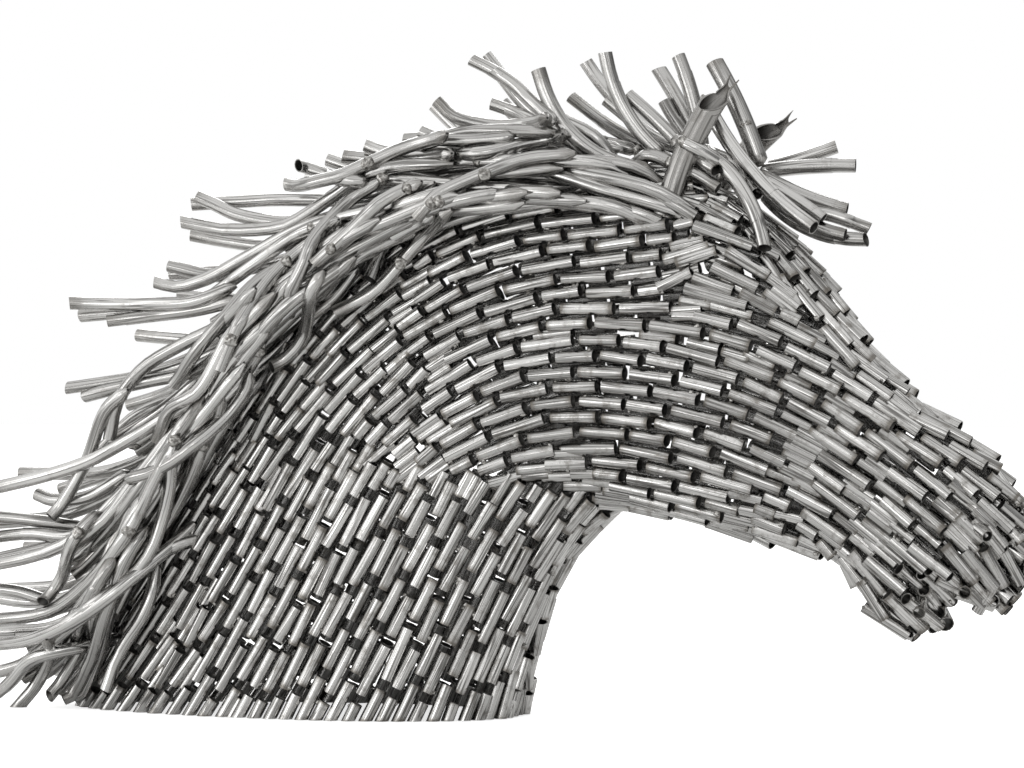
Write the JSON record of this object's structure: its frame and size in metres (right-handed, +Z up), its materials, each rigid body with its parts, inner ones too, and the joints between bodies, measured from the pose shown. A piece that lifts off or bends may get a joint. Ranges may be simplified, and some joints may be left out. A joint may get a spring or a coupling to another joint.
{
  "type": "welded steel tube horse head sculpture",
  "caption": "Bust of a horse's head and neck welded from short lengths of steel tube laid like brickwork, with a mane, forelock and ears of long bent tube, cut flat across the neck.",
  "frame": {"origin": "on the neck's flat underside, near its middle", "axes": "+X towards the muzzle, +Z up, +Y towards the horse's left side"},
  "size_m": [1.3141, 0.2668, 0.7666],
  "materials": {
    "skin_steel": "satin, with fine draw lines along each tube and dark weld marks",
    "mane_steel": "satin, a little brighter than the skin, with weld beads",
    "ear_steel": "satin, with dark grinding marks round the cuts"
  },
  "bodies": {
    "root": {"head_and_neck": "skin_steel", "ear_right": "ear_steel", "ear_left": "ear_steel", "forelock_tube_1": "mane_steel", "forelock_tube_2": "mane_steel", "forelock_tube_3": "mane_steel", "forelock_tube_4": "mane_steel", "forelock_tube_5": "mane_steel", "forelock_tube_6": "mane_steel", "forelock_tube_7": "mane_steel", "forelock_tube_8": "mane_steel", "forelock_tube_9": "mane_steel", "forelock_tube_10": "mane_steel", "forelock_tube_11": "mane_steel", "forelock_tube_12": "mane_steel", "forelock_tube_13": "mane_steel", "mane_lock_right_1": "mane_steel", "mane_lock_right_2": "mane_steel", "mane_lock_right_3": "mane_steel", "mane_lock_right_4": "mane_steel", "mane_lock_right_5": "mane_steel", "mane_lock_right_6": "mane_steel", "mane_lock_right_7": "mane_steel", "mane_lock_right_8": "mane_steel", "mane_lock_right_9": "mane_steel", "mane_lock_left_1": "mane_steel", "mane_lock_left_2": "mane_steel", "mane_lock_left_3": "mane_steel", "mane_lock_left_4": "mane_steel", "mane_lock_left_5": "mane_steel", "mane_lock_left_6": "mane_steel", "mane_lock_left_7": "mane_steel", "mane_flick_1": "mane_steel", "mane_flick_2": "mane_steel", "mane_flick_3": "mane_steel", "mane_flick_4": "mane_steel", "mane_flick_5": "mane_steel", "mane_flick_6": "mane_steel", "mane_flick_7": "mane_steel", "mane_flick_8": "mane_steel", "mane_flick_9": "mane_steel", "mane_flick_10": "mane_steel", "mane_flick_11": "mane_steel", "mane_flick_12": "mane_steel", "mane_flick_13": "mane_steel", "mane_flick_14": "mane_steel", "mane_flick_15": "mane_steel", "mane_flick_16": "mane_steel", "mane_flick_17": "mane_steel", "mane_flick_18": "mane_steel", "mane_flick_19": "mane_steel", "mane_flick_20": "mane_steel", "mane_flick_21": "mane_steel", "mane_flick_22": "mane_steel", "mane_flick_23": "mane_steel", "mane_flick_24": "mane_steel", "mane_flick_25": "mane_steel"}
  },
  "joints": []
}
